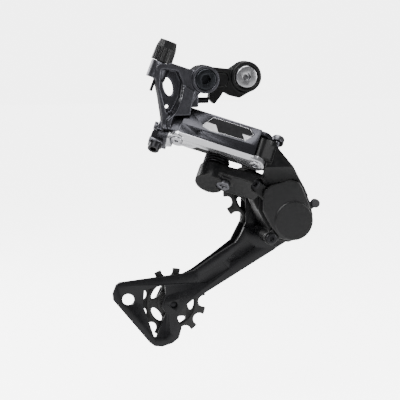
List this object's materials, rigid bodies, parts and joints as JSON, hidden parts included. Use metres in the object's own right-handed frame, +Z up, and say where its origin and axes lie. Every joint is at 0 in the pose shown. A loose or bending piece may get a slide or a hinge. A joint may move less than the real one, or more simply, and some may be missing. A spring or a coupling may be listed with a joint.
{
  "type": "rear bicycle derailleur",
  "caption": "Long-cage rear derailleur: sprung slant parallelogram, clutch housing, cage with guide and tension pulleys, for an M10 frame hanger.",
  "frame": {"origin": "hanger bolt axis, on the bracket link face that meets the frame's hanger", "axes": "+X to the front of the bike, +Y inboard along the hanger bolt towards the wheel, +Z up"},
  "size_m": [0.1361, 0.0647, 0.2099],
  "materials": {
    "black_satin": "satin black paint over a casting",
    "bright_steel": "turned bright steel",
    "dark_steel": "black oxide steel",
    "grey_steel": "plain machined steel",
    "gunmetal": "gunmetal grey anodised, satin to gloss",
    "rubber": "soft black rubber",
    "black_plastic": "matte black",
    "grey_plastic": "matte dark grey",
    "name_plate": "dark grey satin, no lettering",
    "black_anodised": "black anodised",
    "pulley_resin": "moulded resin"
  },
  "bodies": {
    "bracket": {"bracket_link": "black_satin", "hanger_bolt": "bright_steel", "hanger_bolt_circlip": "dark_steel", "b_axle_bolt": "grey_steel"},
    "upper_body": {"b_body": "gunmetal", "b_axle_bush": "grey_steel", "b_spring": "dark_steel", "b_seal": "rubber", "cable_guide_tube": "dark_steel"},
    "cable_adjuster": {"cable_adjuster": "black_plastic"},
    "b_tension_screw": {"b_tension_screw": "dark_steel"},
    "high_limit_screw": {"high_limit_screw": "grey_steel"},
    "low_limit_screw": {"low_limit_screw": "grey_steel"},
    "outer_link": {"outer_link": "gunmetal", "link_name_plate": "name_plate", "outer_link_rear_pin": "bright_steel", "outer_link_front_pin": "bright_steel", "cable_clamp_plate": "grey_steel", "cable_clamp_bolt": "dark_steel"},
    "inner_link": {"inner_link": "black_satin", "inner_link_rear_pin": "bright_steel", "inner_link_front_pin": "bright_steel"},
    "lower_body": {"p_body": "black_satin", "p_body_plug": "grey_steel", "return_spring": "dark_steel", "return_spring_screw": "grey_steel", "p_bush": "grey_steel", "p_spring": "dark_steel", "roller_clutch": "grey_steel", "friction_band": "dark_steel", "clutch_gasket": "rubber", "clutch_cover": "black_plastic", "clutch_cover_screws": "dark_steel"},
    "clutch_lever": {"clutch_lever": "grey_plastic"},
    "cage": {"outer_cage_plate": "black_anodised", "cage_stop_pin": "dark_steel", "inner_cage_plate": "black_anodised", "p_axle": "dark_steel", "guide_pulley_bolt": "dark_steel", "guide_pulley_bush": "grey_steel", "guide_pulley_caps": "dark_steel", "tension_pulley_bolt": "dark_steel", "tension_pulley_bush": "grey_steel", "tension_pulley_caps": "dark_steel"},
    "guide_pulley": {"guide_pulley": "pulley_resin"},
    "tension_pulley": {"tension_pulley": "pulley_resin"}
  },
  "joints": [
    {"name": "bracket_pivot", "type": "hinge", "parent": "bracket", "child": "upper_body", "pos_m": [-0.0302, -0.015, -0.0007], "axis": [0, 1, 0], "range_deg": [0, 35], "stiffness_Nm_per_rad": 0.35, "springref_deg": -57.3},
    {"name": "outer_link_pivot", "type": "hinge", "parent": "upper_body", "child": "outer_link", "pos_m": [-0.04545, -0.01695, -0.03139], "axis": [0.4045, 0.5878, 0.7006], "range_deg": [0, 50], "stiffness_Nm_per_rad": 0.5, "springref_deg": -45.84},
    {"name": "inner_link_pivot", "type": "hinge", "parent": "upper_body", "child": "inner_link", "pos_m": [-0.0431, -0.00184, -0.03828], "axis": [0.4045, 0.5878, 0.7006], "range_deg": [0, 50]},
    {"name": "lower_body_pivot", "type": "hinge", "parent": "outer_link", "child": "lower_body", "pos_m": [0.00347, -0.03175, -0.04721], "axis": [0.4045, 0.5878, 0.7006], "range_deg": [-50, 0]},
    {"name": "cage_pivot", "type": "hinge", "parent": "lower_body", "child": "cage", "pos_m": [0.02866, 0, -0.09507], "axis": [0, -1, 0], "range_deg": [0, 105], "stiffness_Nm_per_rad": 0.3, "springref_deg": -57.3},
    {"name": "clutch_lever_turn", "type": "hinge", "parent": "lower_body", "child": "clutch_lever", "pos_m": [0.02866, -0.021, -0.09507], "axis": [0, 1, 0], "range_deg": [0, 52]},
    {"name": "guide_pulley_spin", "type": "hinge", "parent": "cage", "child": "guide_pulley", "pos_m": [0.013, 0.012, -0.0804], "axis": [0, 1, 0], "continuous": true},
    {"name": "tension_pulley_spin", "type": "hinge", "parent": "cage", "child": "tension_pulley", "pos_m": [-0.047, 0.012, -0.1549], "axis": [0, 1, 0], "continuous": true},
    {"name": "cable_adjuster_turn", "type": "hinge", "parent": "upper_body", "child": "cable_adjuster", "pos_m": [-0.0583, -0.013, 0.0106], "axis": [0.3584, 0, 0.9336], "continuous": true},
    {"name": "b_tension_screw_turn", "type": "hinge", "parent": "upper_body", "child": "b_tension_screw", "pos_m": [-0.037, -0.0056, -0.0153], "axis": [1, 0, 0], "continuous": true},
    {"name": "high_limit_screw_turn", "type": "hinge", "parent": "upper_body", "child": "high_limit_screw", "pos_m": [-0.05734, -0.01167, -0.03252], "axis": [0.9143, -0.2767, -0.2957], "continuous": true},
    {"name": "low_limit_screw_turn", "type": "hinge", "parent": "upper_body", "child": "low_limit_screw", "pos_m": [-0.05722, -0.00711, -0.03641], "axis": [0.9143, -0.2767, -0.2957], "continuous": true}
  ],
  "couplings": [
    {"joint": "inner_link_pivot", "follows": "outer_link_pivot", "ratio": 1},
    {"joint": "lower_body_pivot", "follows": "outer_link_pivot", "ratio": -1}
  ]
}
